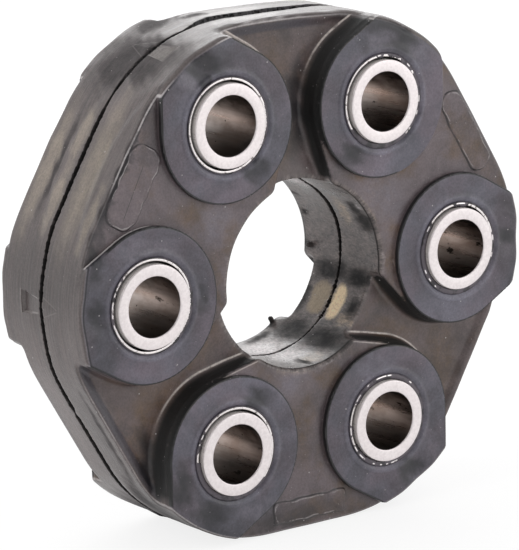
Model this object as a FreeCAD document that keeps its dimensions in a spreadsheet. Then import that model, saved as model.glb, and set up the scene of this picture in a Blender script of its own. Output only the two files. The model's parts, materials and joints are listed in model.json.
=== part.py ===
import FreeCAD, Part
import math
import os

import Sketcher

# Driveshaft flex disc: six bolt sleeves on one pitch circle, joined in pairs by cord loops and
# moulded into one rubber body. The disc stands on a flat of its rim: +Z is up, the front face
# looks along -Y, and the origin is the centre of the disc, halfway through its thickness.
# Lengths are in millimetres.

SIZES = [
    ("pitch_circle", 78.0, "diameter of the circle through the six bolt holes"),
    ("bolt_hole", 12.35, "bore of a bolt sleeve"),
    ("sleeve_outer", 17.3, "outside of a bolt sleeve"),
    ("sleeve_length", 31.0, "a sleeve from end face to end face"),
    ("sleeve_chamfer", 0.35, "chamfer on the edges of a sleeve"),
    ("collar_outer", 19.2, "hub of a collar"),
    ("flange_outer", 25.4, "flange of a collar, hidden in the rubber"),
    ("flange_thickness", 1.0, "thickness of that flange"),
    ("flange_cover", 1.8, "rubber between the boss face and the flange"),
    ("cord_wall", 2.9, "thickness of a cord loop, from the collar outwards"),
    ("inner_loop_width", 13.0, "width of the cord loops at the middle of the disc"),
    ("loop_gap", 0.5, "rubber between an inner and an outer cord loop"),
    ("boss_diameter", 32.0, "round boss about each sleeve"),
    ("boss_setback", 0.9, "boss face behind the end face of the sleeve"),
    ("land_step", 1.2, "land behind the boss face"),
    ("recess_step", 4.6, "floor of a recess behind the land"),
    ("across_flats", 106.4, "rim of the disc across two flats"),
    ("lobe_rounding", 34.5, "radius of the rim round a lobe"),
    ("centre_bore", 38.8, "hole through the middle of the disc"),
    ("neck_width", 14.0, "width of a recess where it opens into the centre bore"),
    ("neck_flare", 17.2, "angle of a recess's side to its middle line, in degrees"),
    ("cap_angle", 60.0, "where the boss leaves its circle for the rim, in degrees"),
    ("slit_width", 1.3, "mould parting groove round the rim and the bore"),
    ("rim_slit_depth", 1.8, "depth of that groove in the rim"),
    ("bore_slit_depth", 0.8, "depth of that groove in the bore"),
    ("notch_width", 4.6, "pry notch in the rim of each lobe"),
    ("notch_reach", 6.5, "length of the notch to each side of the groove"),
    ("notch_depth", 0.9, "depth of the notch at its far ends"),
    ("rim_rounding", 1.2, "rounded edges of the rim"),
    ("bore_bevel", 0.8, "bevelled edges of the centre bore"),
]

LOBES = 6
LOBE_PITCH = 360.0 / LOBES
HALF_PITCH = LOBE_PITCH / 2
FIRST_LOBE = 120.0
RECESS_ANGLES = (90.0, 210.0, 330.0)
LAND_ANGLES = (30.0, 150.0, 270.0)
SIDES = {"front": 1, "rear": -1}

doc = FreeCAD.newDocument("flex_disc")
sheet = doc.addObject("Spreadsheet::Sheet", "Sizes")
for row, (alias, size, meaning) in enumerate(SIZES, start=1):
    sheet.set(f"A{row}", alias)
    sheet.set(f"B{row}", str(size))
    sheet.set(f"C{row}", meaning)
    sheet.setAlias(f"B{row}", alias)
doc.recompute()

# Sizes that follow from the driving ones, as formulas for the expressions below.
S = {alias: f"Sizes.{alias}" for alias, _, _ in SIZES}
PITCH_RADIUS = f"{S['pitch_circle']} / 2"
BOSS_RADIUS = f"{S['boss_diameter']} / 2"
BOSS_THICKNESS = f"({S['sleeve_length']} - 2 * {S['boss_setback']})"
LAND_THICKNESS = f"({BOSS_THICKNESS} - 2 * {S['land_step']})"
RECESS_THICKNESS = f"({LAND_THICKNESS} - 2 * {S['recess_step']})"
FLANGE_OUTER_FACE = f"({BOSS_THICKNESS} / 2 - {S['flange_cover']})"
FLANGE_INNER_FACE = f"({FLANGE_OUTER_FACE} - {S['flange_thickness']})"
OUTER_LOOP_START = f"({S['inner_loop_width']} / 2 + {S['loop_gap']})"
OUTER_LOOP_WIDTH = f"({FLANGE_INNER_FACE} - {OUTER_LOOP_START})"
HALF_SPAN = f"{PITCH_RADIUS} * sin({HALF_PITCH})"
PAIR_RADIUS = f"{PITCH_RADIUS} * cos({HALF_PITCH})"
LOOP_INNER_RADIUS = f"{S['collar_outer']} / 2"
LOOP_OUTER_RADIUS = f"({LOOP_INNER_RADIUS} + {S['cord_wall']})"
CLEAR_RADIUS = f"{S['across_flats']}"


def disc_rotation(angle):
    """Local X points outwards at this angle round the disc, and local Z to the front."""
    turn = math.radians(angle)
    outwards = FreeCAD.Vector(math.cos(turn), 0, math.sin(turn))
    along = FreeCAD.Vector(-math.sin(turn), 0, math.cos(turn))
    return FreeCAD.Rotation(outwards, along, FreeCAD.Vector(0, -1, 0), "ZXY")


def place(thing, angle, radius="0 mm", forward="0 mm"):
    """Set a thing at a radius and angle round the disc, and so far forward of its middle."""
    thing.Placement = FreeCAD.Placement(FreeCAD.Vector(), disc_rotation(angle))
    thing.setExpression("Placement.Base.x", f"({radius}) * cos({angle})")
    thing.setExpression("Placement.Base.y", f"-({forward})")
    thing.setExpression("Placement.Base.z", f"({radius}) * sin({angle})")


def body_plane(body, role):
    return next(plane for plane in body.Origin.OriginFeatures if plane.Role == role)


def bind(sketch, kind, name, expression, *where):
    """Add one dimension to a sketch and tie it to the sheet."""
    index = sketch.addConstraint(Sketcher.Constraint(kind, *where, 1.0))
    sketch.renameConstraint(index, name)
    sketch.setExpression(f"Constraints.{name}", expression)


def polygon(sketch, corners):
    """A closed outline whose corners are tied to the sheet, given as pairs of formulas."""
    count = len(corners)
    for i in range(count):
        turn = 2 * math.pi * i / count
        step = 2 * math.pi * (i + 1) / count
        start = FreeCAD.Vector(math.cos(turn), math.sin(turn), 0)
        end = FreeCAD.Vector(math.cos(step), math.sin(step), 0)
        sketch.addGeometry(Part.LineSegment(start, end), False)
    for i in range(count):
        sketch.addConstraint(Sketcher.Constraint("Coincident", i, 2, (i + 1) % count, 1))
    for i, (across, up) in enumerate(corners):
        bind(sketch, "DistanceX", f"across_{i}", across, -1, 1, i, 1)
        bind(sketch, "DistanceY", f"up_{i}", up, -1, 1, i, 1)


def free_sketch(name, angle):
    sketch = doc.addObject("Sketcher::SketchObject", name)
    sketch.Placement = FreeCAD.Placement(FreeCAD.Vector(), disc_rotation(angle))
    return sketch


def extrusion(name, sketch, length):
    """The sketch as a prism, half its length to each side."""
    solid = doc.addObject("Part::Extrusion", name)
    solid.Base = sketch
    solid.DirMode = "Normal"
    solid.Solid = True
    solid.Symmetric = True
    solid.setExpression("LengthFwd", length)
    return solid


def disc(name, radius, thickness, angle=0.0, at_radius="0 mm"):
    """A round slab, centred on the middle plane of the disc."""
    solid = doc.addObject("Part::Cylinder", name)
    solid.setExpression("Radius", radius)
    solid.setExpression("Height", thickness)
    place(solid, angle, at_radius, f"-({thickness}) / 2")
    return solid


def fuse(name, shapes):
    solid = doc.addObject("Part::MultiFuse", name)
    solid.Shapes = shapes
    return solid


def cut(name, base, tool):
    solid = doc.addObject("Part::Cut", name)
    solid.Base = base
    solid.Tool = tool
    return solid


def turned_body(label, profile, angle, at_radius=PITCH_RADIUS):
    """A turned piece: its section, radius by height, spun round local Z."""
    body = doc.addObject("PartDesign::Body", label)
    body.Label = label
    sketch = body.newObject("Sketcher::SketchObject", f"{label}_section")
    sketch.AttachmentSupport = (body_plane(body, "XZ_Plane"), [""])
    sketch.MapMode = "FlatFace"
    polygon(sketch, profile)
    spin = body.newObject("PartDesign::Revolution", f"{label}_turned")
    spin.Profile = sketch
    spin.ReferenceAxis = (sketch, ["V_Axis"])
    spin.Angle = 360.0
    body.Tip = spin
    place(body, angle, at_radius)
    return body


def bolt_sleeve(number, angle):
    """Steel tube that takes a flange bolt. Its end faces are the highest on the disc."""
    inner = f"{S['bolt_hole']} / 2"
    outer = f"{S['sleeve_outer']} / 2"
    end = f"{S['sleeve_length']} / 2"
    bevel = S["sleeve_chamfer"]
    profile = [
        (inner, f"-({end} - {bevel})"),
        (f"{inner} + {bevel}", f"-({end})"),
        (f"{outer} - {bevel}", f"-({end})"),
        (outer, f"-({end} - {bevel})"),
        (outer, f"{end} - {bevel}"),
        (f"{outer} - {bevel}", end),
        (f"{inner} + {bevel}", end),
        (inner, f"{end} - {bevel}"),
    ]
    return turned_body(f"bolt_sleeve_{number}", profile, angle)


def collar(side, number, angle):
    """Pressed on the sleeve from one end, with a flange that keeps the cord loops in place."""
    sign = SIDES[side]
    inner = f"{S['sleeve_outer']} / 2"
    outer = f"{S['collar_outer']} / 2"
    rim = f"{S['flange_outer']} / 2"
    profile = [
        (inner, "0 mm"),
        (outer, "0 mm"),
        (outer, f"{sign} * {FLANGE_INNER_FACE}"),
        (rim, f"{sign} * {FLANGE_INNER_FACE}"),
        (rim, f"{sign} * {FLANGE_OUTER_FACE}"),
        (outer, f"{sign} * {FLANGE_OUTER_FACE}"),
        (outer, f"{sign} * {BOSS_THICKNESS} / 2"),
        (inner, f"{sign} * {BOSS_THICKNESS} / 2"),
    ]
    return turned_body(f"collar_{side}_{number}", profile, angle)


def racetrack(sketch, name, first, radius, reach):
    """Two straight runs and two half circles round a pair of bolt sleeves."""
    middle = 30.0
    for end in (-1, 1):
        centre = FreeCAD.Vector(middle, 20 * end, 0)
        start = 0.0 if end > 0 else math.pi
        circle = Part.Circle(centre, FreeCAD.Vector(0, 0, 1), reach)
        sketch.addGeometry(Part.ArcOfCircle(circle, start, start + math.pi), False)
    for side in (-1, 1):
        low = FreeCAD.Vector(middle + side * reach, -20, 0)
        high = FreeCAD.Vector(middle + side * reach, 20, 0)
        sketch.addGeometry(Part.LineSegment(low, high), False)
    lower, upper, near, far = (first + i for i in range(4))
    joints = [(near, 1, lower, 1), (near, 2, upper, 2), (far, 1, lower, 2), (far, 2, upper, 1)]
    for line, line_end, arc, arc_end in joints:
        sketch.addConstraint(Sketcher.Constraint("Coincident", line, line_end, arc, arc_end))
        sketch.addConstraint(Sketcher.Constraint("Horizontal", arc, 3, arc, arc_end))
    for arc, sign, word in ((lower, "-1", "low"), (upper, "1", "high")):
        bind(sketch, "DistanceX", f"{name}_{word}_x", PAIR_RADIUS, -1, 1, arc, 3)
        bind(sketch, "DistanceY", f"{name}_{word}_y", f"{sign} * {HALF_SPAN}", -1, 1, arc, 3)
    sketch.addConstraint(Sketcher.Constraint("Equal", lower, upper))
    bind(sketch, "Radius", f"{name}_radius", radius, lower)


def cord_loop(label, angle, start, width):
    """Cord wound round two neighbouring collars, from a start height for its whole width."""
    body = doc.addObject("PartDesign::Body", label)
    body.Label = label
    sketch = body.newObject("Sketcher::SketchObject", f"{label}_path")
    sketch.AttachmentSupport = (body_plane(body, "XY_Plane"), [""])
    sketch.MapMode = "FlatFace"
    racetrack(sketch, "outside", 0, LOOP_OUTER_RADIUS, 12.5)
    racetrack(sketch, "inside", 4, LOOP_INNER_RADIUS, 9.6)
    pad = body.newObject("PartDesign::Pad", f"{label}_wound")
    pad.Profile = sketch
    pad.setExpression("Length", width)
    body.Tip = pad
    place(body, angle, "0 mm", start)
    return body


def edges_where(shape, wanted):
    return [f"Edge{i}" for i, edge in enumerate(shape.Edges, start=1) if wanted(edge)]


def rim_outline(name, thickness, inset="0", rounding=None):
    """A slab in the rounded hexagon of the rim, or in the same shape so far inside it."""
    body = doc.addObject("PartDesign::Body", name)
    sketch = body.newObject("Sketcher::SketchObject", f"{name}_hexagon")
    sketch.AttachmentSupport = (body_plane(body, "XY_Plane"), [""])
    sketch.MapMode = "FlatFace"
    corner = f"({S['across_flats']} / 2 - {inset}) / cos({HALF_PITCH})"
    turns = [LOBE_PITCH * i for i in range(LOBES)]
    polygon(sketch, [(f"{corner} * cos({turn})", f"{corner} * sin({turn})") for turn in turns])
    pad = body.newObject("PartDesign::Pad", f"{name}_slab")
    pad.Profile = sketch
    pad.SideType = "Symmetric"
    pad.setExpression("Length", thickness)
    doc.recompute()
    upright = edges_where(pad.Shape, lambda edge: edge.BoundBox.ZLength > 1)
    lobes = body.newObject("PartDesign::Fillet", f"{name}_lobes")
    lobes.Base = (pad, upright)
    lobes.setExpression("Radius", f"{S['lobe_rounding']} - {inset}")
    body.Tip = lobes
    if rounding:
        doc.recompute()
        flat = edges_where(lobes.Shape, lambda edge: edge.BoundBox.ZLength < 0.001)
        soft = body.newObject("PartDesign::Fillet", f"{name}_edges")
        soft.Base = (lobes, flat)
        soft.setExpression("Radius", rounding)
        body.Tip = soft
    place(body, 0.0)
    return body


def bevelled_bore(name, thickness):
    """What the centre bore takes out of a slab of this thickness."""
    radius = f"{S['centre_bore']} / 2"
    bevel = S["bore_bevel"]
    face = f"{thickness} / 2"
    profile = [
        ("0 mm", f"-({face})"),
        (f"{radius} + {bevel}", f"-({face})"),
        (radius, f"-({face} - {bevel})"),
        (radius, f"{face} - {bevel}"),
        (f"{radius} + {bevel}", face),
        ("0 mm", face),
    ]
    return turned_body(name, profile, 0.0, "0 mm")


def bored_slab(name, thickness, recesses=None):
    """One level of the rubber body, with its rim and its share of the centre bore."""
    slab = rim_outline(f"{name}_rim", thickness, rounding=S["rim_rounding"])
    tools = [bevelled_bore(f"{name}_bore", thickness)]
    if recesses:
        tools.append(recesses)
        tools = [fuse(f"{name}_openings", tools)]
    return cut(name, slab, tools[0])


def recess_prism(angle):
    """Plan of a recess: narrow at the bore, wider between the bosses, open to the rim."""
    sketch = free_sketch(f"recess_plan_{int(angle)}", angle)
    bore_radius = f"{S['centre_bore']} / 2"
    flare = f"tan({S['neck_flare']})"
    half_neck = f"{S['neck_width']} / 2"
    inside = f"{bore_radius} / 2"
    # the side of the recess runs tangent to the boss circle
    tangent_x = f"({PAIR_RADIUS} - {BOSS_RADIUS} * sin({S['neck_flare']}))"
    tangent_y = f"({half_neck} - ({tangent_x} - {bore_radius}) * {flare})"
    inside_y = f"({half_neck} + ({bore_radius} - {inside}) * {flare})"
    outside = CLEAR_RADIUS
    outside_y = f"({outside} * tan({HALF_PITCH}))"
    half = [
        (inside, inside_y),
        (tangent_x, tangent_y),
        (PAIR_RADIUS, HALF_SPAN),
        (outside, outside_y),
    ]
    mirrored = [(across, f"-({up})") for across, up in reversed(half)]
    polygon(sketch, half + mirrored)
    return extrusion(f"recess_prism_{int(angle)}", sketch, f"2 * {S['sleeve_length']}")


def boss(number, angle):
    """Round boss that widens into the rim between two tangents."""
    around = disc(f"boss_round_{number}", BOSS_RADIUS, BOSS_THICKNESS, angle, PITCH_RADIUS)
    sketch = free_sketch(f"boss_plan_{number}", angle)
    touch_x = f"{PITCH_RADIUS} + {BOSS_RADIUS} * cos({S['cap_angle']})"
    touch_y = f"{BOSS_RADIUS} * sin({S['cap_angle']})"
    tip = f"{PITCH_RADIUS} + {BOSS_RADIUS} / cos({S['cap_angle']})"
    corners = [
        (PITCH_RADIUS, "0 mm"),
        (touch_x, f"-({touch_y})"),
        (tip, "0 mm"),
        (touch_x, touch_y),
    ]
    polygon(sketch, corners)
    cap = extrusion(f"boss_cap_{number}", sketch, BOSS_THICKNESS)
    return [around, cap]


def notch(number, angle):
    """Shallow ramped notch in the rim of a lobe, to both sides of the parting groove."""
    sketch = doc.addObject("Sketcher::SketchObject", f"notch_section_{number}")
    turn = math.radians(angle)
    outwards = FreeCAD.Vector(math.cos(turn), 0, math.sin(turn))
    along = FreeCAD.Vector(-math.sin(turn), 0, math.cos(turn))
    turned = FreeCAD.Rotation(outwards, FreeCAD.Vector(0, 1, 0), along, "ZXY")
    sketch.Placement = FreeCAD.Placement(FreeCAD.Vector(), turned)
    flat = f"{S['across_flats']} / 2"
    rounding = S["lobe_rounding"]
    tip = f"(({flat} - {rounding}) / cos({HALF_PITCH}) + {rounding})"
    reach = S["notch_reach"]
    corners = [
        (f"{tip} + {rounding}", f"-({reach})"),
        (f"{tip} + {rounding}", reach),
        (f"{tip} - {S['notch_depth']}", reach),
        (tip, "0 mm"),
        (f"{tip} - {S['notch_depth']}", f"-({reach})"),
    ]
    polygon(sketch, corners)
    return extrusion(f"notch_{number}", sketch, S["notch_width"])


def rubber_block():
    """The outside of the rubber body, before the pieces that it is moulded round are taken out."""
    through = f"2 * {S['sleeve_length']}"
    bosses = []
    lobe_cuts = []
    for number in range(1, LOBES + 1):
        angle = FIRST_LOBE - LOBE_PITCH * (number - 1)
        seat_radius = f"{S['sleeve_outer']} / 2"
        bosses += boss(number, angle)
        lobe_cuts.append(notch(number, angle))
        lobe_cuts.append(disc(f"sleeve_seat_{number}", seat_radius, through, angle, PITCH_RADIUS))
    boss_rim = rim_outline("boss_rim", BOSS_THICKNESS, rounding=S["rim_rounding"])
    raised = doc.addObject("Part::MultiCommon", "bosses")
    raised.Shapes = [fuse("boss_shapes", bosses), boss_rim]
    recesses = fuse("recess_prisms", [recess_prism(angle) for angle in RECESS_ANGLES])
    floor = bored_slab("recess_floor", RECESS_THICKNESS)
    lands = bored_slab("lands", LAND_THICKNESS, recesses)
    groove_slab = disc("groove_slab", CLEAR_RADIUS, S["slit_width"])
    groove_core = rim_outline("groove_core", f"2 * {S['slit_width']}", S["rim_slit_depth"])
    rim_groove = cut("rim_groove", groove_slab, groove_core)
    groove_radius = f"{S['centre_bore']} / 2 + {S['bore_slit_depth']}"
    bore_groove = disc("bore_groove", groove_radius, S["slit_width"])
    openings = fuse("mould_openings", [rim_groove, bore_groove] + lobe_cuts)
    return cut("rubber_outside", fuse("levels", [floor, lands, raised]), openings)


sleeves = []
moulded_in = []
for number in range(1, LOBES + 1):
    angle = FIRST_LOBE - LOBE_PITCH * (number - 1)
    sleeves.append(bolt_sleeve(number, angle))
    for side in SIDES:
        moulded_in.append(collar(side, number, angle))
for index, angle in enumerate(LAND_ANGLES, start=1):
    front_start = OUTER_LOOP_START
    rear_start = f"-({FLANGE_INNER_FACE})"
    moulded_in.append(cord_loop(f"outer_cord_loop_front_{index}", angle, front_start, OUTER_LOOP_WIDTH))
    moulded_in.append(cord_loop(f"outer_cord_loop_rear_{index}", angle, rear_start, OUTER_LOOP_WIDTH))
for index, angle in enumerate(RECESS_ANGLES, start=1):
    start = f"-({S['inner_loop_width']} / 2)"
    moulded_in.append(cord_loop(f"inner_cord_loop_{index}", angle, start, S["inner_loop_width"]))

rubber = cut("rubber_body", rubber_block(), fuse("collars_and_cords", moulded_in))
rubber.Label = "rubber_body"
pieces = [rubber] + sleeves + moulded_in
doc.recompute()

failed = [thing.Name for thing in doc.Objects if {"Invalid", "Error"} & set(thing.State)]
if failed:
    raise RuntimeError(f"objects that did not rebuild: {failed}")
for piece in pieces:
    if piece.Shape.isNull() or not piece.Shape.isValid():
        raise RuntimeError(f"{piece.Label} has no valid shape")

os.makedirs("parts", exist_ok=True)
for piece in pieces:
    piece.Shape.exportStep(os.path.join("parts", f"{piece.Label}.step"))
    print(f"{piece.Label}: {len(piece.Shape.Solids)} solid, {piece.Shape.Volume:.1f} mm3")
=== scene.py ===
import json
import math

import bmesh
import bpy
import numpy as np
from mathutils import Matrix, Vector


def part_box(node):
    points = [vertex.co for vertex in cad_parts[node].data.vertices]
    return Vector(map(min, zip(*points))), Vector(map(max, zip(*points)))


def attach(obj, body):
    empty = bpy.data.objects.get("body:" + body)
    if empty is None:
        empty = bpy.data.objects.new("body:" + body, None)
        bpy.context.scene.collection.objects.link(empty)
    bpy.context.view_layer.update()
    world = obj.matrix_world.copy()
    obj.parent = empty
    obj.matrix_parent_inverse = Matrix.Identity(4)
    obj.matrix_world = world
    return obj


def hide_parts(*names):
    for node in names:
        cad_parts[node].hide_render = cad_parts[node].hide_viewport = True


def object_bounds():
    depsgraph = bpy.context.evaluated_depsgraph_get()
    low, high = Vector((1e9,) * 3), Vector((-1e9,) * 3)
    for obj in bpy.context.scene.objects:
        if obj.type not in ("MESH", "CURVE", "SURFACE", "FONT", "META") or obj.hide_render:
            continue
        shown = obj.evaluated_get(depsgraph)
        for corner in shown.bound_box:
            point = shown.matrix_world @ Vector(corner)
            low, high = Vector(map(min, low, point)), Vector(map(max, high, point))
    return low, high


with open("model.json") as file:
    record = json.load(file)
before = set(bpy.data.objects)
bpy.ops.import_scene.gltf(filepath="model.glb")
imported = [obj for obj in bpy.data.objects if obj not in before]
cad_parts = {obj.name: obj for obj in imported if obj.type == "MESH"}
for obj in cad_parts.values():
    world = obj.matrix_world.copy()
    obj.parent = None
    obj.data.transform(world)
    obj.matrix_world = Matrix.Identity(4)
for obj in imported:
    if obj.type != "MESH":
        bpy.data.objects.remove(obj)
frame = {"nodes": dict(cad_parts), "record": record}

# Driveshaft flex disc standing on a flat of its rim. Sizes here are in millimetres, and the
# meshes are turned into metres when they are made.

MM = 0.001
CAD_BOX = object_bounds()

# Sizes that the frame gives.
mounts = {mount["name"]: mount for mount in frame["record"]["mounts"]}
PITCH_RADIUS = mounts["bolt_circle"]["dims"]["pcd_mm"] / 2
BOLT_RADIUS = mounts["bolt_hole_1"]["dims"]["r_mm"]
BORE_RADIUS = mounts["center_bore"]["dims"]["r_mm"]
rubber_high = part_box("rubber_body")[1] / MM
sleeve_low, sleeve_high = (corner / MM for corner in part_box("bolt_sleeve_1"))
FLAT_RADIUS = rubber_high.z
BOSS_FACE = rubber_high.y
SLEEVE_END = sleeve_high.y
SLEEVE_RADIUS = (sleeve_high.x - sleeve_low.x) / 2

# Sizes of the collars' ends and of the rubber's shape, taken from the photograph.
COLLAR_RADIUS = 9.6
RING_INNER = 9.15
LAND_FACE = BOSS_FACE - 1.2
RECESS_FLOOR = LAND_FACE - 4.6
BORE_LEDGE = 0.6
BORE_LEDGE_INNER = 20.0
BORE_LEDGE_OUTER = 24.5
FLANK_DEPTH = 3.2
RIM_LIP = 0.7
LOBE_ROUNDING = 34.5
BOSS_RADIUS = 16.0
SKIRT_START = 11.3
SKIRT_SLOPE = 0.36
NECK_FLARE = math.radians(17.2)
CAP_ANGLE = math.radians(60)
WALL_EDGE = 0.6
BOSS_EDGE = 0.35
FLOOR_FILLET = 0.7
RIM_SLIT_DEPTH = 1.8
BORE_SLIT_DEPTH = 0.8
SLIT_ROUNDING = 0.1
STRIP_RISE = 1.3
NOTCH_START = 0.6
NOTCH_REACH = 6.9
NOTCH_DEPTH = 0.85
NOTCH_HALF_WIDTH = 1.6
NOTCH_WIDENING = 0.8
NOTCH_RIDGE = 0.3
RIDGE_HALF_WIDTH = 2.2
RIDGE_SHORTER = 0.6

# The rubber's mesh: step of the grid and margin round the body, about how many triangles are kept
# before the longest edges are halved, and the angle from which an edge is sharp.
GRID_STEP = 0.42
GRID_MARGIN = 2.0
THINNED_TRIANGLES = 125000
LONGEST_EDGE = 1.5
CREASE_ANGLE = math.radians(38)

FLOOR_REACH = 3000.0

SIXTH = math.pi / 3
TWELFTH = math.pi / 6
LOBE_ANGLES = {number: math.radians(120 - 60 * (number - 1)) for number in range(1, 7)}

# Where the coordinate that runs round the rim, and the one round the bore, start, in degrees.
RIM_SEAM = -60
BORE_SEAM = -240

# The parting slits: degrees round the disc, depth of the slit's middle, half its width.
RIM_SLIT = (
    (-60, -0.2, 0.55), (60, -0.3, 0.6), (84, -0.5, 1.75), (103, -0.4, 1.75), (108, -1.1, 1.1),
    (112, -1.8, 0.4), (117, -0.9, 0.5), (128, -0.4, 0.6), (133, -0.2, 0.3), (139, 0.1, 0.65),
    (163, 0.1, 0.65), (170, -0.3, 0.6), (186, -0.2, 0.6), (196, 0.4, 0.75), (204.5, 0.8, 0.9),
    (206, 0.9, 0.3), (207.5, 0.8, 0.85), (228, 0.6, 0.85), (240, 0.0, 0.6), (300, -0.2, 0.55),
)
BORE_SLIT = (
    (-240, 0.4, 0.45), (-110, 1.6, 0.5), (-95, 1.6, 0.5), (-85, 0.8, 0.4), (-72, 0.7, 0.35),
    (-68, 0.6, 0.15), (-48, 0.5, 0.2), (-42, 0.5, 0.4), (-19, 0.5, 0.4), (-6, 0.5, 0.3),
    (0, 0.5, 0.45), (20, 0.2, 0.6), (33, 0.4, 0.7), (45, 1.2, 0.75), (54, 2.8, 0.8), (120, 0.4, 0.45),
)

# How far the slit's painted black shade reaches beyond the rim's slit: degrees round the disc, distance.
RIM_SLIT_EDGES = ((-60, 0.0), (80, 0.0), (86, 0.4), (104, 0.4), (109, 0.0), (300, 0.0))

# The rim's profile: degrees round the disc, how far it lies inside its plain outline, and the
# rounding of its two edges.
RIM_PROFILE = (
    (-60, 0.2, 0.9), (-45, 0.02, 0.3), (-18, 0.02, 0.3), (-12, 0.3, 1.0), (7, 0.3, 1.0), (20, 0.3, 1.2),
    (32, 0.32, 1.35), (45, 0.5, 1.8), (60, 0.65, 2.2), (75, 0.5, 1.9), (88, 0.25, 1.0), (97, 0.25, 0.9),
    (105, 0.3, 1.2), (120, 0.35, 1.3), (138, 0.28, 1.2), (145, 0.06, 0.6), (167, 0.06, 0.6), (173, 0.3, 0.6),
    (187, 0.3, 0.6), (194, 0.06, 0.5), (200, 0.02, 0.3), (225, 0.02, 0.3), (240, 0.05, 0.6),
    (262, 0.08, 0.6), (278, 0.08, 0.6), (300, 0.2, 0.9),
)

# How bright the rim's front edge shines: degrees round the disc, strength.
EDGE_SHINE = (
    (-60, 0.1), (60, 0.0), (84, 0.3), (90, 0.5), (106, 0.5), (109, 0.8), (112, 0.7), (114, 0.15),
    (125, 0.1), (130, 0.7), (150, 0.6), (154, 0.1), (194, 0.1), (200, 0.35), (226, 0.35), (236, 0.5),
    (252, 0.2), (300, 0.1),
)

# Stains, worn spots and painted light and shade. On the faces: brown stains, pale spots, and dark spots
# that include painted shadow beside some walls. On the rim: painted sheen, painted highlights and painted
# shade. In the bore: pale spots, painted reflections and dark spots. The front face's are given by their
# place across and up in millimetres, those of the rim and the bore by degrees round the disc and depth in
# millimetres, and then all by half their size in the same two directions.
BROWN_ON_FACES = (
    (-28, 17, 4, 2.5), (-22.5, 1, 1.8, 6), (-24, -10, 4, 5), (-33, -20, 4, 2.5), (-37, -25, 3, 8),
    (-5, 42, 4, 7), (-3, 27, 4, 4), (-1.5, -30, 2.5, 9), (5, -22, 3, 2.5), (24, -17, 7, 3),
    (38, -25, 4, 8), (22.5, -2, 2.5, 5), (14, 20, 4, 2), (24, 20, 5, 2.5), (45, 20, 3, 3),
    (-42, -33, 3, 5), (-30, -14.5, 5, 1.2),
)
BLUE_ON_FACES = (
    (-22, 14, 4, 3), (-4, -22, 5, 3.5), (-29.5, 44, 2.5, 2.5), (19.5, 46.5, 3.5, 2), (28, 44, 3, 2),
    (20, 13, 5, 4), (-14, -47, 4, 2), (15, -22, 3, 2), (-40, 12, 6, 1.6), (44, -6, 3, 3),
)
SHADE_AND_DARK_SPOTS_ON_FACES = (
    (-23, 46.5, 4, 2.2), (-12.5, 24, 3, 2), (25.3, 45.8, 2.2, 3.4), (12, 23.5, 4, 2),
    (53, 0.5, 2.4, 2), (22, 49.5, 6, 2), (26.5, -45.5, 3.2, 2.4), (-26.5, -45, 4, 2.8),
    (-13.5, -23.5, 3.8, 2), (-52.5, 0.5, 2.2, 1.8), (-26.8, 0, 1.3, 2.4), (-49.5, 26, 1.6, 11),
    (-52.5, 11.5, 1.4, 4), (36, 3, 2, 2.4), (-33, -39, 2, 5), (-26, 47.5, 3.4, 2.6),
    (-24.5, 42.8, 1.5, 2.5), (19, 52, 8, 1.4), (1.4, 34, 1.8, 9), (-37.6, -36, 1.9, 9),
)
RIM_PAINTED_SHEEN = (
    (142, 3.2, 5, 1.7), (157, 3.0, 7, 1.5), (152, 10.0, 13, 2.0), (160, -10.6, 6.5, 1.1),
    (150, -5.0, 15, 2.6),
)
RIM_PAINTED_HIGHLIGHTS = ((95, 4, 8, 2.8), (97, -4.8, 8, 1.5), (97, -9.8, 8, 0.6))
RIM_PAINTED_SHADE = (
    (125.5, -4.6, 3.6, 4.6), (126, 4.5, 6, 5.5), (212, -6.7, 12, 0.7), (150, 6.9, 11, 0.7),
    (98, -8.4, 9, 0.4), (244, -7, 12, 7), (121, 0, 4.5, 11), (112, 9, 4, 3.4), (104, 5.6, 3, 1),
    (150, -13.2, 22, 0.5), (240, 3, 7, 7), (230, -4.5, 5, 2.4),
)
BORE_BEIGE = ((-42, -7, 3.4, 2.2), (-76, -8.6, 6, 2.2), (30, -4.0, 9, 1.6))
BORE_PAINTED_REFLECTIONS = ((-82, -3.0, 11, 2.8), (-85, 4.6, 12, 4.4), (36, -10.4, 2, 0.9), (52, 6, 5, 5))
BORE_DARK = (
    (-58, -5.5, 9, 7.5), (-12.5, -0.1, 5.5, 2), (-14, 4, 6, 4.6), (-58, 5, 9, 5),
    (25, -10.2, 7, 2.6), (34, -8.8, 5, 1.6), (-83.5, -9.0, 1.8, 2.4), (-74, 10.8, 9, 1.2),
    (20.5, 11, 1.8, 1), (34, 11.6, 1.6, 1.4), (-14, -6.5, 6, 4.6), (-1, 11.2, 2.2, 1.4),
    (-59.5, 12.6, 3, 1.2), (-33, -7.4, 6, 1.6), (-34, 8.8, 12, 1.2),
)
BORE_CREAM = (-32, -2.2, 13, 2.1)
BORE_SAND = (-32, 4.0, 12, 3.1)

# Where a recess's wall gets no painted shade, so that its foot stays as pale as its floor, given in the
# same way.
PLAIN_WALLS = ((-47, -14, 6, 4),)
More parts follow.
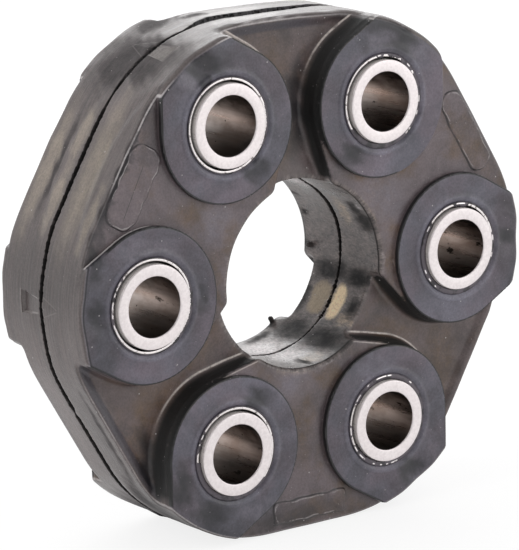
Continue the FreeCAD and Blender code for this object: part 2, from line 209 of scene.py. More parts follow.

# Broad painted light and shade, lighter and darker areas: middle and half size as above, and strength.
FACE_PAINTED_LIGHT_AND_SHADE = (
    (-51, 0, 5, 12, -0.8), (-20, -49.5, 16, 4, -0.8), (53, 0, 4, 11, -0.8), (27, 2, 3, 9, -0.6),
    (24, 48, 10, 5, -1.0), (-32, 47, 9, 5, -0.8), (0, -50.5, 20, 2.5, -0.8), (45, 20, 4, 12, -0.1),
    (-37, 37, 3, 7, -0.9), (-50, -20, 2, 14, -0.3), (44, -30, 3, 12, -0.4), (-30, 2, 3, 8, -0.5),
    (-3, 50, 10, 3, -0.5), (8, -34, 4, 10, -0.3), (-33, 22, 9, 7, 0.5), (18, 21, 8, 4, 0.7),
    (-15, 22, 9, 4, 0.4), (40, -13, 8, 3, 0.5), (-20, -20, 9, 3, 0.6), (-40, -13, 9, 3, 0.4),
    (33, 36, 4, 9, 0.4), (20, 10, 8, 6, 0.5), (-24, 12, 6, 5, 0.4), (-22, 45, 3, 6, 0.3),
    (32, -18, 8, 4, 0.4), (-36, -22, 7, 5, 0.6), (-5, -20, 8, 4, 0.3), (28, -47, 6, 3, -0.5),
    (30, -12, 5, 6, 0.4), (0, 42, 5, 6, 0.3), (-47, 22, 3, 5, 0.2), (46, 8, 3, 5, 0.2),
)

# The rim's broad painted light and shade: degrees round the disc and depth, half sizes, and strength.
RIM_PAINTED_LIGHT_AND_SHADE = (
    (173, 0, 6, 14, -0.6), (181, 1, 5, 12, -0.3), (208, 5.5, 15, 3.2, 0.9), (212, -5.0, 11, 1.4, -0.5),
    (228, -6, 6, 4, -0.4), (236, -8, 6, 7, -0.8), (150, 3.4, 12, 1.8, 0.6), (135, -3.8, 4, 3, 0.5),
    (150, 10, 12, 3, 0.35), (108, -9, 5, 2, -0.4), (100, 6, 10, 0.5, -0.4), (200, -10, 6, 4, -0.1),
)

# Pads on the lands: degrees round the disc, distance out, half width, half length, corner.
PADS = (
    (30, 48.9, 2.9, 9.8, 2.8),
    (150, 48.4, 3.9, 8.6, 3.0),
    (270, 49.1, 2.3, 9.2, 0.6),
)
PAD_HEIGHT = 0.32

# Moulding pips in the bore: degrees round the disc and depth.
PIPS = ((-1.2, 10.2), (-57.4, 12.6))
PIP_RADIUS = 0.55
PIP_LENGTH = 1.0

NOTCH_MARKS = ("notch_side", "notch_end", "ridge_side")


def ramp(low, high, value):
    """0 at low, 1 at high, smooth between."""
    t = np.clip((value - low) / (high - low), 0, 1)
    return t * t * (3 - 2 * t)


def hump(value, width):
    return np.exp(-((value / width) ** 2))


def rounded_both(a, b, radius):
    """What lies in both fields, with their common edge rounded."""
    corner = np.hypot(np.maximum(a + radius, 0), np.maximum(b + radius, 0))
    return np.minimum(np.maximum(a, b), -radius) + corner


def filleted_either(a, b, radius):
    """What lies in either field, with a fillet where they meet."""
    corner = np.hypot(np.maximum(radius - a, 0), np.maximum(radius - b, 0))
    return np.maximum(np.minimum(a, b), radius) - corner


def ripple(seed, lengths, *where):
    """Smooth seeded unevenness of about -1 to 1, with waves of the given lengths."""
    random = np.random.default_rng(seed)
    total = 0.0
    for length in lengths:
        phase = random.uniform(0, 2 * math.pi)
        for place in where:
            turn = random.uniform(0.6, 1.4) / length
            phase = phase + 2 * math.pi * turn * place
        total = total + np.sin(phase)
    return total / len(lengths)


def turned(x, z, angle):
    """Coordinates outwards and across for something at this angle round the disc."""
    out = x * math.cos(angle) + z * math.sin(angle)
    across = z * math.cos(angle) - x * math.sin(angle)
    return out, across


def outline(out, across):
    """Distance from the rim, in the coordinates of the nearest lobe."""
    inner_flat = FLAT_RADIUS - LOBE_ROUNDING
    corner = inner_flat * math.tan(TWELFTH)
    away = out * math.cos(TWELFTH) + across * math.sin(TWELFTH) - inner_flat
    along = across * math.cos(TWELFTH) - out * math.sin(TWELFTH)
    round_corner = np.hypot(np.maximum(away, 0), along + corner)
    return np.where(along < -corner, round_corner, away) - LOBE_ROUNDING


def boss_plan(u, v, radius):
    """Distance from a boss's side: a circle that widens outwards between two tangents."""
    on_tangent = u * math.sin(CAP_ANGLE) - v * math.cos(CAP_ANGLE) > 0
    tangent = u * math.cos(CAP_ANGLE) + v * math.sin(CAP_ANGLE)
    return np.where(on_tangent, tangent, np.hypot(u, v)) - radius


def recess_wall(x_mid, w_mid, u, v, to_land):
    """Distance from the wall between the high part of the rubber and a recess."""
    radius = BOSS_RADIUS + 0.1
    centre = PITCH_RADIUS * math.cos(TWELFTH), PITCH_RADIUS * math.sin(TWELFTH)
    side = math.sin(NECK_FLARE), math.cos(NECK_FLARE)
    touch = centre[0] - radius * side[0], centre[1] - radius * side[1]
    across = -(x_mid - touch[0]) * side[0] - (w_mid - touch[1]) * side[1]
    along = (x_mid - touch[0]) * side[1] - (w_mid - touch[1]) * side[0]
    neck = np.maximum(across, along)
    return np.minimum(np.minimum(boss_plan(u, v, radius), neck), to_land)


def lobe_place(x, z):
    """The angle from a recess's middle line, up to a sixth of a turn on a land's, and the radius."""
    t = np.abs(np.mod(np.arctan2(z, x) - math.pi / 2 + SIXTH, 2 * SIXTH) - SIXTH)
    return t, np.hypot(x, z)


def lobe_axes(t, radius):
    """How far out along the nearest lobe's middle line, and how far beside that line."""
    return radius * np.cos(t - TWELFTH), radius * np.abs(np.sin(t - TWELFTH))


def wall_at(t, radius):
    out, v = lobe_axes(t, radius)
    to_land = -radius * np.sin(t - TWELFTH)
    return recess_wall(radius * np.cos(t), radius * np.sin(t), out - PITCH_RADIUS, v, to_land)


def pad_distance(x, z):
    """Distance from the ragged outline of the nearest plain pad on the front's lands."""
    nearest = 99.0
    for angle, radius, half_width, half_length, corner in PADS:
        out, across = turned(x, z, math.radians(angle))
        du = np.abs(out - radius) - half_width + corner
        dv = np.abs(across) - half_length + corner
        away = np.hypot(np.maximum(du, 0), np.maximum(dv, 0)) + np.minimum(np.maximum(du, dv), 0)
        nearest = np.minimum(nearest, away - corner)
    return nearest + 0.2 * ripple(3, (7.0, 3.1), x, z)


def boss_face(u, v, around):
    """Level of a boss's face: a lip round the collar and shallow valleys outwards and inwards."""
    lip = 0.26 * hump(around - 10.8, 0.5) - 0.22 * hump(around - 9.5, 0.6)
    outer_valley = 0.36 * hump(v, 2.6) * ramp(10.5, 13.0, u) * ramp(19.0, 16.0, u)
    inner_valley = 0.22 * hump(v, 2.8) * ramp(-10.0, -12.0, u) * ramp(-16.5, -14.5, u)
    shoulder = 0.14 * hump(v - 4.8, 2.0) * ramp(9.0, 12.0, u)
    return BOSS_FACE - 0.14 + lip - outer_valley - inner_valley + shoulder


def worn_step(x, y, z):
    """Where the second boss's step down to the land on its right runs out softly, 0 to 1."""
    out = x - PITCH_RADIUS * math.cos(LOBE_ANGLES[2])
    up = z - PITCH_RADIUS * math.sin(LOBE_ANGLES[2])
    close = ramp(20.0, 17.0, np.hypot(out, up))
    return close * ramp(3.0, 12.0, out) * (y < 0)


def faces(x, y, z, radius, t):
    """The two faces and all steps between their levels, without the rim and the bore."""
    depth = np.abs(y)
    lobe_out, v = lobe_axes(t, radius)
    u = lobe_out - PITCH_RADIUS
    wall = wall_at(t, radius)
    around = np.hypot(u, v)
    land_level = LAND_FACE - PAD_HEIGHT * ramp(-0.2, 0.2, pad_distance(x, z)) * (y < 0)
    land = rounded_both(depth - land_level, wall - 0.15, WALL_EDGE)
    skirt = np.maximum(wall - SKIRT_SLOPE * (SKIRT_START - depth), depth - SKIRT_START)
    high = np.minimum(land, skirt / math.hypot(1, SKIRT_SLOPE))
    lip = RIM_LIP * ramp(FLANK_DEPTH, 0.7, -outline(lobe_out, v))
    floor_level = RECESS_FLOOR + BORE_LEDGE * ramp(BORE_LEDGE_OUTER, BORE_LEDGE_INNER, radius) + lip
    body = filleted_either(depth - floor_level, high, FLOOR_FILLET)
    step = rounded_both(depth - boss_face(u, v, around), boss_plan(u, v, BOSS_RADIUS), BOSS_EDGE)
    body = filleted_either(body, step, 0.06 + 1.6 * worn_step(x, y, z))
    return body, around, lobe_out, v, u


def degrees_from(seam, angle):
    return np.mod(np.degrees(angle) - seam, 360) + seam


def along_course(course, turn):
    """The values that a course, a table that starts with degrees, gives at these degrees."""
    at, *columns = zip(*course)
    return [np.interp(turn, at, column) for column in columns]


def rim_slit(turn):
    """Depth of the rim's slit at its middle, and half its width."""
    middle, half_width = along_course(RIM_SLIT, turn)
    ragged = 0.17 * ripple(24, (3.1, 1.7, 0.9), turn) * ramp(0.3, 0.6, half_width)
    return middle, half_width + ragged


def bore_slit(turn):
    middle, half_width = along_course(BORE_SLIT, turn)
    return middle, half_width + 0.12 * ripple(34, (5.3, 3.1), turn)


def split_strip(turn):
    """Where the rim's slit is nearly closed by a strip of rubber along its middle, 0 to 1."""
    return ramp(114, 117, turn) * ramp(131, 128, turn)


def rim_swell(x, y, z, t, radius):
    """How far waves, grooves and ridges sink the rim."""
    along = radius * np.sin(TWELFTH - np.abs(t - TWELFTH))
    on_flat = ramp(18.0, 12.0, along)
    bend = (along / 14) ** 2
    front_ridge = hump(-y - 8.2 - 2.6 * bend, 1.0) - hump(-y - 6.4 - 2.6 * bend, 1.0)
    rear_groove = hump(y - 7.0 + 3.4 * bend, 1.1)
    wave = 0.04 * ripple(11, (43.0, 29.0), x, z) + 0.02 * ripple(12, (13.0,), x, 2 * y, z)
    upper = ramp(-12, 0, z)
    return wave - upper * on_flat * (0.13 * front_ridge - 0.2 * rear_groove)


def notch_run(angle, y):
    """Place along the nearest pry notch, and its share of the sunk half and of the ridge."""
    sunk_in_front = np.mod(np.round(angle / SIXTH), 2) == 0
    along = np.where(sunk_in_front, -y, y)
    reach = NOTCH_REACH - NOTCH_START
    return along, (along - NOTCH_START) / reach, (-along - NOTCH_START) / (reach - RIDGE_SHORTER)


def pry_notch(angle, y, u, v):
    """The sunk half and the raised half of a lobe's pry notch, as a change of the rim's depth."""
    _, run, back = notch_run(angle, y)
    sides = np.clip((NOTCH_HALF_WIDTH + NOTCH_WIDENING * run - v) / 0.3, 0, 1)
    sunk = NOTCH_DEPTH * run * sides * ((run > 0) & (run < 1))
    ridge_width = np.maximum(RIDGE_HALF_WIDTH * (1 - back), 1e-6)
    ridge = NOTCH_RIDGE * (1 - back) * np.clip(1 - v / ridge_width, 0, 1) * ((back > -0.1) & (back < 1))
    return (sunk - ridge) * (u > 0)


def notch_edges(angle, y, v):
    """Distance from the sides of the nearest notch's sunk half, from its end, and from its ridge."""
    along, run, back = notch_run(angle, y)
    side = v - NOTCH_HALF_WIDTH - NOTCH_WIDENING * run
    return side, along - NOTCH_REACH, v - RIDGE_HALF_WIDTH * (1 - back)


def with_slit(body, skin, y, middle, half_width, slit_depth):
    """The body's field with a slit cut into it from a skin."""
    slit = np.maximum(np.abs(y - middle) - half_width, -skin - slit_depth)
    return rounded_both(body, -slit, SLIT_ROUNDING)


def rubber_field(x, y, z):
    """Below zero inside the rubber body, and nearly the distance in millimetres near its skin."""
    t, radius = lobe_place(x, z)
    angle = np.arctan2(z, x)
    body, around, lobe_out, v, u = faces(x, y, z, radius, t)

    turn = degrees_from(RIM_SEAM, angle)
    inset, rounding = along_course(RIM_PROFILE, turn)
    rim = outline(lobe_out, v) + inset + rim_swell(x, y, z, t, radius)
    body = rounded_both(body, rim + pry_notch(angle, y, u, v), rounding)
    body = with_slit(body, rim, y, *rim_slit(turn), RIM_SLIT_DEPTH - STRIP_RISE * split_strip(turn))

    turn = degrees_from(BORE_SEAM, angle)
    torn = ramp(-50, -44, turn) * ramp(-16, -20, turn)
    flash = 0.3 * torn * hump(y - 0.6, 0.9) * ripple(31, (2.3, 1.3), turn / 3, y)
    bore = BORE_RADIUS + 0.05 + 0.05 * ripple(32, (21.0, 13.0), x, y, z) - flash - radius
    body = rounded_both(body, bore, 0.3 + 0.5 * ramp(10.5, 12.5, np.abs(y)))
    body = with_slit(body, bore, y, *bore_slit(turn), BORE_SLIT_DEPTH)
    for degrees, pip_depth in PIPS:
        out, across = turned(x, z, math.radians(degrees))
        beyond = np.maximum(BORE_RADIUS - PIP_LENGTH - out, 0)
        spread = np.hypot(np.hypot(across, y - pip_depth), beyond)
        pip = np.maximum(spread - PIP_RADIUS, out - BORE_RADIUS - 2)
        body = filleted_either(body, pip, 0.4)
    return rounded_both(body, COLLAR_RADIUS - around, 0.15)


def field_slope(points, step=0.04):
    """Gradient of the rubber's field at points, by central differences."""
    slope = np.empty_like(points)
    for axis in range(3):
        ahead, behind = points.copy(), points.copy()
        ahead[:, axis] += step
        behind[:, axis] -= step
        slope[:, axis] = (rubber_field(*ahead.T) - rubber_field(*behind.T)) / (2 * step)
    return slope


def surface_net(low, high, step):
    """Points and quads on the zero level of the rubber's field, one point per crossed cell."""
    x, y, z = (np.arange(a, b + step, step) for a, b in zip(low, high))
    value = rubber_field(x[:, None, None], y[None, :, None], z[None, None, :])
    inside = value < 0
    shape = np.array(value.shape)
    owners, places, squares = [], [], []
    for axis in range(3):
        near = tuple(slice(None, -1) if i == axis else slice(1, -1) for i in range(3))
        far = tuple(slice(1, None) if i == axis else slice(1, -1) for i in range(3))
        at = np.argwhere(inside[near] != inside[far])
        at += [0 if i == axis else 1 for i in range(3)]
        ahead = at.copy()
        ahead[:, axis] += 1
        first, second = value[tuple(at.T)], value[tuple(ahead.T)]
        place = at.astype(float)
        place[:, axis] += first / (first - second)
        places.append(place)
        ring = []
        for back in ((1, 1), (0, 1), (0, 0), (1, 0)):
            cell = at.copy()
            cell[:, [(axis + 1) % 3, (axis + 2) % 3]] -= back
            ring.append(np.ravel_multi_index(cell.T, shape))
        ring = np.stack(ring, 1)
        owners.append(ring.copy())
        flip = first > 0
        ring[flip] = ring[flip][:, ::-1]
        squares.append(ring)
    places = np.concatenate(places) * step + np.array([x[0], y[0], z[0]])
    cells, back = np.unique(np.concatenate(owners), return_inverse=True)
    points = corner_points(places, back.reshape(-1, 4), len(cells), step)
    return points, np.searchsorted(cells, np.concatenate(squares))


def corner_points(places, back, count, step):
    """The point of each cell that lies closest to the tangent planes where its edges are crossed."""
    slope = field_slope(places)
    normal = slope / np.maximum(np.linalg.norm(slope, axis=1), 1e-9)[:, None]
    offset = (normal * places).sum(1)

    def gathered(values):
        return sum(np.bincount(back[:, k], values, count) for k in range(4))

    number = gathered(np.ones(len(places)))
    middle = np.stack([gathered(places[:, i]) / number for i in range(3)], 1)
    pull = 0.05
    planes = np.empty((count, 3, 3))
    for i in range(3):
        for j in range(3):
            planes[:, i, j] = gathered(normal[:, i] * normal[:, j]) + pull * (i == j)
    aims = np.stack([gathered(normal[:, i] * offset) for i in range(3)], 1) + pull * middle
    points = np.linalg.solve(planes, aims[:, :, None])[:, :, 0]
    return middle + np.clip(points - middle, -0.8 * step, 0.8 * step)


def settle(points, rounds, reach):
    """Move points onto the zero level along the slope, no further than reach in a round."""
    for _ in range(rounds):
        slope = field_slope(points)
        steepness = np.maximum((slope**2).sum(1), 0.2)
        move = np.clip(-rubber_field(*points.T) / steepness, -reach, reach)
        points = points + slope * move[:, None]
    return points


def mesh_of(name, points, polygons):
    """A mesh object in metres from points in millimetres and equal-sided polygons."""
    sides = polygons.shape[1]
    mesh = bpy.data.meshes.new(name)
    mesh.vertices.add(len(points))
    mesh.vertices.foreach_set("co", (points * MM).astype(np.float32).ravel())
    mesh.loops.add(polygons.size)
    mesh.loops.foreach_set("vertex_index", polygons.astype(np.int32).ravel())
    mesh.polygons.add(len(polygons))
    mesh.polygons.foreach_set("loop_start", np.arange(0, polygons.size, sides, dtype=np.int32))
    mesh.update(calc_edges=True)
    mesh.validate()
    mesh.polygons.foreach_set("use_smooth", np.ones(len(polygons), bool))
    thing = bpy.data.objects.new(name, mesh)
    bpy.context.scene.collection.objects.link(thing)
    return thing


def applied(thing):
    """The object with its modifiers made part of its mesh."""
    graph = bpy.context.evaluated_depsgraph_get()
    mesh = bpy.data.meshes.new_from_object(thing.evaluated_get(graph))
    thing.modifiers.clear()
    thing.data = mesh
    return mesh


def thin_out(thing, triangles):
    """Bring the mesh down to about so many triangles, most of them where it bends."""
    total = sum(len(face.vertices) - 2 for face in thing.data.polygons)
    if total > triangles:
        shrink = thing.modifiers.new("thin", "DECIMATE")
        shrink.ratio = triangles / total
        shrink.use_collapse_triangulate = True
        applied(thing)


def drop_flaps(work):
    """Delete triangles that lie back to back on the same three corners."""
    work.verts.index_update()
    groups = {}
    for face in work.faces:
        groups.setdefault(frozenset(corner.index for corner in face.verts), []).append(face)
    flaps = [face for group in groups.values() if len(group) > 1 for face in group]
    bmesh.ops.delete(work, geom=flaps, context="FACES")


def refine(thing, longest):
    """Halve the edges that are longer than this, for room to vary the surface's colour."""
    work = bmesh.new()
    work.from_mesh(thing.data)
    for _ in range(2):
        edges = [edge for edge in work.edges if edge.calc_length() > longest * MM]
        bmesh.ops.subdivide_edges(work, edges=edges, cuts=1)
        bmesh.ops.triangulate(work, faces=work.faces)
    drop_flaps(work)
    work.to_mesh(thing.data)
    work.free()


def crease(thing):
    """Sharp edges where the mesh turns sharply, and flats that stay flat beside its roundings."""
    thing.data.set_sharp_from_angle(angle=CREASE_ANGLE)
    weigh = thing.modifiers.new("weigh", "WEIGHTED_NORMAL")
    weigh.keep_sharp = True
    applied(thing)


def points_of(mesh):
    flat = np.empty(len(mesh.vertices) * 3, np.float32)
    mesh.vertices.foreach_get("co", flat)
    return flat.reshape(-1, 3).astype(float) / MM


def mark(mesh, name, values):
    attribute = mesh.attributes.new(name, "FLOAT", "POINT")
    attribute.data.foreach_set("value", np.asarray(values, np.float32))


def build_rubber():
    high = np.array([CAD_BOX[1][0], BOSS_FACE * MM, CAD_BOX[1][2]]) / MM + GRID_MARGIN
    points, squares = surface_net(-high, high, GRID_STEP)
    points = settle(points, 1, GRID_STEP / 4)
    thing = mesh_of("rubber_disc", points, squares)
    thin_out(thing, THINNED_TRIANGLES)
    refine(thing, LONGEST_EDGE)
    points = settle(points_of(thing.data), 1, GRID_STEP / 4)
    thing.data.vertices.foreach_set("co", (points * MM).astype(np.float32).ravel())
    crease(thing)
    mark_regions(thing.data, points)
    return thing


def spotted(across, up, spots):
    """1 inside the ellipses given as middle and half size in two directions, fading outwards."""
    result = np.zeros_like(across)
    for middle_across, middle_up, half_across, half_up in spots:
        away = np.hypot((across - middle_across) / half_across, (up - middle_up) / half_up)
        result = np.maximum(result, ramp(1.7, 0.4, away))
    return result


def toned(across, up, tones):
    """The strengths of the painted lighter and darker areas, added up."""
    return sum(strength * spotted(across, up, [spot]) for *spot, strength in tones)


def mark_regions(mesh, points):
    """What the rubber's material needs to know of each point."""
    x, y, z = points.T
    t, radius = lobe_place(x, z)
    angle = np.arctan2(z, x)
    lobe_out, v = lobe_axes(t, radius)
    around = np.hypot(lobe_out - PITCH_RADIUS, v)
    wall = wall_at(t, radius)
    depth_below = -outline(lobe_out, v)
    rim_turn, bore_turn = degrees_from(RIM_SEAM, angle), degrees_from(BORE_SEAM, angle)
    inset, rounding = along_course(RIM_PROFILE, rim_turn)
    inside = depth_below - inset - 0.4 * rounding - 0.1
    on_flank = (np.abs(y) < RECESS_FLOOR - 0.5) & (depth_below < FLANK_DEPTH)
    bore = ramp(BORE_RADIUS + 1.2, BORE_RADIUS + 0.5, radius)
    on_bore = radius < (BORE_RADIUS + FLAT_RADIUS) / 2
    turn = np.where(on_bore, bore_turn, rim_turn)
    slits = zip(bore_slit(bore_turn), rim_slit(rim_turn))
    middle, half_width = (np.where(on_bore, *pair) for pair in slits)
    near_skin = (depth_below < FLANK_DEPTH) | (radius < BORE_RADIUS + 1.5)
    shaded_slit_edges = along_course(RIM_SLIT_EDGES, rim_turn)[0] * ~on_bore
    step = boss_plan(lobe_out - PITCH_RADIUS, v, BOSS_RADIUS)
    tone, rim_painted_shading = toned(x, z, FACE_PAINTED_LIGHT_AND_SHADE) * (y < 0), toned(rim_turn, y, RIM_PAINTED_LIGHT_AND_SHADE)
    slope = field_slope(points)
    level = np.abs(slope[:, 1]) / np.maximum(np.linalg.norm(slope, axis=1), 1e-9)
    # Painted shade on the steep walls beside the recesses.
    painted_wall_shade = ramp(0.9, 0.55, level) * ramp(-0.7, -0.2, wall) * ramp(0.0, 0.8, inside) * (1 - bore)
    marks = {
        "inside": np.where(on_flank, -1.5, inside),
        "shine": along_course(EDGE_SHINE, rim_turn)[0],
        "bore": bore,
        "turn": turn,
        "across": y - middle,
        "slit": np.where(near_skin, half_width + shaded_slit_edges - np.abs(y - middle), -1),
        "strip": split_strip(rim_turn) * ~on_bore,
        "step": step - 5 * worn_step(x, y, z),
        "around": around,
        "wall": wall,
        "pad": np.where(y < 0, pad_distance(x, z), 9),
        "tone": np.clip(np.where(on_flank | (inside < 0.3), rim_painted_shading, tone), -1, 1),
        "upward": ramp(0.15, 0.42, wall_at(*lobe_place(x, z + 0.5)) - wall),
        "painted_wall_shade": painted_wall_shade * (1 - spotted(x, z, PLAIN_WALLS)),
    }
    marks.update(zip(NOTCH_MARKS, notch_edges(angle, y, v)))

    shaken_turn = turn + 1.5 * ripple(41, (7.0, 3.3), turn, y)
    shaken_y = y + 0.4 * ripple(42, (7.0, 3.3), turn, y)
    shaken_x = x + 1.2 * ripple(43, (9.0, 4.1), x, z)
    shaken_z = z + 1.2 * ripple(44, (9.0, 4.1), x, z)
    in_bore = radius < BORE_RADIUS + 0.8
    on_rim = ~in_bore & (depth_below < 1.3)
    on_front = ~in_bore & ~on_rim & (y < 0)
    # The pale mark is painted sheen on the rim. The dark mark is painted shade as well as dark spots. The
    # stain mark is brown stains on the faces, painted highlights on the rim and painted reflections in the
    # bore.
    for name, faces_spots, rim_spots, bore_spots in (
        ("pale", BLUE_ON_FACES, RIM_PAINTED_SHEEN, BORE_BEIGE),
        ("shade_and_dark_spots", SHADE_AND_DARK_SPOTS_ON_FACES, RIM_PAINTED_SHADE, BORE_DARK),
        ("stain", BROWN_ON_FACES, RIM_PAINTED_HIGHLIGHTS, BORE_PAINTED_REFLECTIONS),
    ):
        marks[name] = on_front * spotted(shaken_x, shaken_z, faces_spots)
        marks[name] += on_rim * spotted(shaken_turn, shaken_y, rim_spots)
        marks[name] += in_bore * spotted(shaken_turn, shaken_y, bore_spots)
    for name, values in marks.items():
        mark(mesh, name, values)


def enclosed_volume(points, squares):
    a, b, c, d = (points[squares[:, i]] for i in range(4))
    return ((np.cross(a, b) * c).sum() + (np.cross(a, c) * d).sum()) / 6


def ring_mesh(name, points):
    """A closed ring from points given turn by turn, each turn a closed outline."""
    segments, count = points.shape[:2]
    i, j = np.meshgrid(np.arange(segments), np.arange(count), indexing="ij")
    ahead, beside = (i + 1) % segments, (j + 1) % count
    squares = np.stack([i * count + j, i * count + beside, ahead * count + beside, ahead * count + j], -1)
    points, squares = points.reshape(-1, 3), squares.reshape(-1, 4)
    if enclosed_volume(points, squares) < 0:
        squares = squares[:, ::-1]
    return mesh_of(name, points, squares)


def hole_points(angle, turns, radius, depth):
    """Points at these turns round a bolt hole's axis."""
    across = PITCH_RADIUS * math.cos(angle) + radius * np.cos(turns)
    up = PITCH_RADIUS * math.sin(angle) + radius * np.sin(turns)
    return np.stack(np.broadcast_arrays(across, depth, up), -1)


def turned_piece(name, profile, angle, segments=160):
    """A closed ring about a bolt hole, from a closed outline of radius and depth."""
    turns = np.arange(segments) * 2 * math.pi / segments
    return ring_mesh(name, hole_points(angle, turns[:, None], *np.array(profile).T))


def rounded_profile(corners, radius, steps=4):
    """A closed outline with its corners rounded by short arcs."""
    result = []
    corners = [Vector(corner) for corner in corners]
    for before, here, after in zip(corners[-1:] + corners, corners, corners[1:] + corners[:1]):
        start = here + (before - here).normalized() * radius
        end = here + (after - here).normalized() * radius
        for step in range(steps + 1):
            s = step / steps
            result.append(tuple(start.lerp(here, s).lerp(here.lerp(end, s), s)))
    return result


def mark_around(thing, angle):
    """Distance from the bolt hole's axis, and height over it as a share of the hole's radius."""
    x, _, z = points_of(thing.data).T
    out, across = turned(x, z, angle)
    mark(thing.data, "around", np.hypot(out - PITCH_RADIUS, across))
    mark(thing.data, "over", (z - PITCH_RADIUS * math.sin(angle)) / BOLT_RADIUS)


def steel_sleeve(number, angle):
    corners = [
        (BOLT_RADIUS, -SLEEVE_END),
        (SLEEVE_RADIUS, -SLEEVE_END),
        (SLEEVE_RADIUS, SLEEVE_END),
        (BOLT_RADIUS, SLEEVE_END),
    ]
    thing = turned_piece(f"steel_sleeve_{number}", rounded_profile(corners, 0.3), angle)
    mark_around(thing, angle)
    return thing


def collar_ring(side, number, angle):
    """A collar's end: a narrow bright ring, bevelled towards the sleeve."""
    sign = 1 if side == "rear" else -1
    corners = [
        (SLEEVE_RADIUS + 0.12, sign * 0.1),
        (SLEEVE_RADIUS + 0.12, sign * (BOSS_FACE - 0.7)),
        (RING_INNER, sign * (BOSS_FACE - 0.1)),
        (COLLAR_RADIUS, sign * (BOSS_FACE - 0.1)),
        (COLLAR_RADIUS, sign * 0.1),
    ]
    thing = turned_piece(f"collar_ring_{side}_{number}", rounded_profile(corners, 0.1), angle)
    mark_around(thing, angle)
    return thing


def stretches(turn, spans, soft):
    """How much these degrees round a collar lie in the spans of start, end and amount."""
    result = np.zeros_like(turn)
    for start, end, amount in spans:
        middle, half = (start + end) / 2, (end - start) / 2
        away = np.abs(np.mod(turn - middle + 180, 360) - 180)
        result = np.maximum(result, amount * ramp(half + soft, half - soft, away))
    return result


# Stretches of rubber flash over the collars: degrees round the collar from +X towards +Z, from
# and to, and how much of the collar's end it covers.
FLASH = {
    1: ((-30, 20, 0.25), (150, 170, 0.15)),
    2: ((14, 30, 0.8), (36, 58, 1.0), (62, 80, 0.5), (88, 98, 0.8), (212, 374, 1.0)),
    3: ((-40, 12, 0.75), (72, 96, 0.85), (138, 320, 1.0)),
    4: ((-95, 148, 1.0), (178, 192, 0.8), (205, 268, 0.9)),
    5: ((182, 318, 1.0), (142, 170, 0.6)),
    6: ((-60, 20, 0.3), (135, 200, 0.5)),
}
REAR_FLASH = ((20, 60, 0.6), (110, 190, 0.9), (230, 330, 0.8))

# Where the bright edge of a collar shows through the flash of the front.
DASHES = {
    1: (),
    2: ((42, 47), (92, 97), (308, 318), (336, 341), (352, 360)),
    3: ((60, 68), (78, 92), (-20, -14), (2, 9), (143, 150), (200, 206), (214, 219), (228, 232)),
    4: ((82, 88), (90, 106), (46, 50), (118, 122), (136, 146), (180, 190), (206, 214), (220, 231),
        (246, 249), (258, 261), (268, 271), (276, 286)),
    5: ((146, 152), (158, 160)),
    6: ((140, 160), (166, 186), (194, 200)),
}


def rubber_flash(side, number, angle, segments=720):
    """A thin ragged skin of rubber from the boss over a collar's end."""
    sign = 1 if side == "rear" else -1
    turns = np.arange(segments) * 2 * math.pi / segments
    degrees = np.degrees(turns)
    seed = 100 * number + (side == "rear")
    rag = ripple(seed, (24.0, 11.0, 5.0), degrees) * 0.3
    rag = rag + ripple(seed + 50, (3.1, 1.9), degrees) * 0.12
    cover = stretches(degrees, FLASH[number] if side == "front" else REAR_FLASH, 2.5)
    cover = np.clip(cover * (1 + rag * (cover < 0.95)) + rag * 0.12, 0, 1)
    outer = COLLAR_RADIUS + 0.25
    inner = outer - 0.22 - cover * (outer - 0.22 - SLEEVE_RADIUS + 0.03)
    low, high = BOSS_FACE - 0.35, BOSS_FACE - 0.02 - 0.03 * cover
    edge = np.minimum(0.12, (outer - inner) / 3)
    middle = (outer + inner) / 2
    rings = [
        (outer, low), (outer, high), (middle, high), (inner + edge, high), (inner, high - 0.1), (inner, low)
    ]
    points = [hole_points(angle, turns, radius, sign * level) for radius, level in rings]
    thing = ring_mesh(f"rubber_flash_{side}_{number}", np.stack(points, 1))
    mark_around(thing, angle)
    spans = [(start, end, 1.0) for start, end in DASHES[number]] if side == "front" else ()
    mark(thing.data, "dash", np.repeat(stretches(degrees, spans, 0.8), len(rings)))
    return thing


def grey(level):
    return level, level, level


class Nodes:
    """Short ways to add and join the nodes of a material or a world."""

    def __init__(self, owner):
        owner.use_nodes = True
        self.nodes, self.links = owner.node_tree.nodes, owner.node_tree.links

    def feed(self, socket, value):
        if isinstance(value, bpy.types.NodeSocket):
            self.links.new(value, socket)
        elif socket.type == "RGBA":
            socket.default_value = (*value, 1)
        else:
            socket.default_value = value

    def add(self, kind, values=(), **settings):
        """A new node, with values for its inputs in their order, or by number or name."""
        node = self.nodes.new("ShaderNode" + kind)
        for name, value in settings.items():
            setattr(node, name, value)
        for key, value in values.items() if isinstance(values, dict) else enumerate(values):
            self.feed(node.inputs[key], value)
        return node

    def math(self, operation, *values):
        return self.add("Math", values, operation=operation).outputs[0]

    def chain(self, operation, result, *values):
        for value in values:
            result = self.math(operation, result, value)
        return result

    def total(self, *values):
        return self.chain("ADD", *values)

    def product(self, *values):
        return self.chain("MULTIPLY", *values)

    def highest(self, *values):
        return self.chain("MAXIMUM", *values)

    def blend(self, amount, a, b):
        return self.add("Mix", {0: amount, 2: a, 3: b}, data_type="FLOAT").outputs[0]

    def band(self, value, low, high, to_low=0.0, to_high=1.0):
        """to_low at low, to_high at high, smooth between."""
        values = value, low, high, to_low, to_high
        return self.add("MapRange", values, interpolation_type="SMOOTHSTEP").outputs[0]

    def background_share(self):
        """1 for rays that see the background itself or its mirror image, 0 for those that light."""
        path = self.add("LightPath").outputs
        return self.highest(*(path[f"Is {kind} Ray"] for kind in ("Camera", "Glossy", "Transmission")))


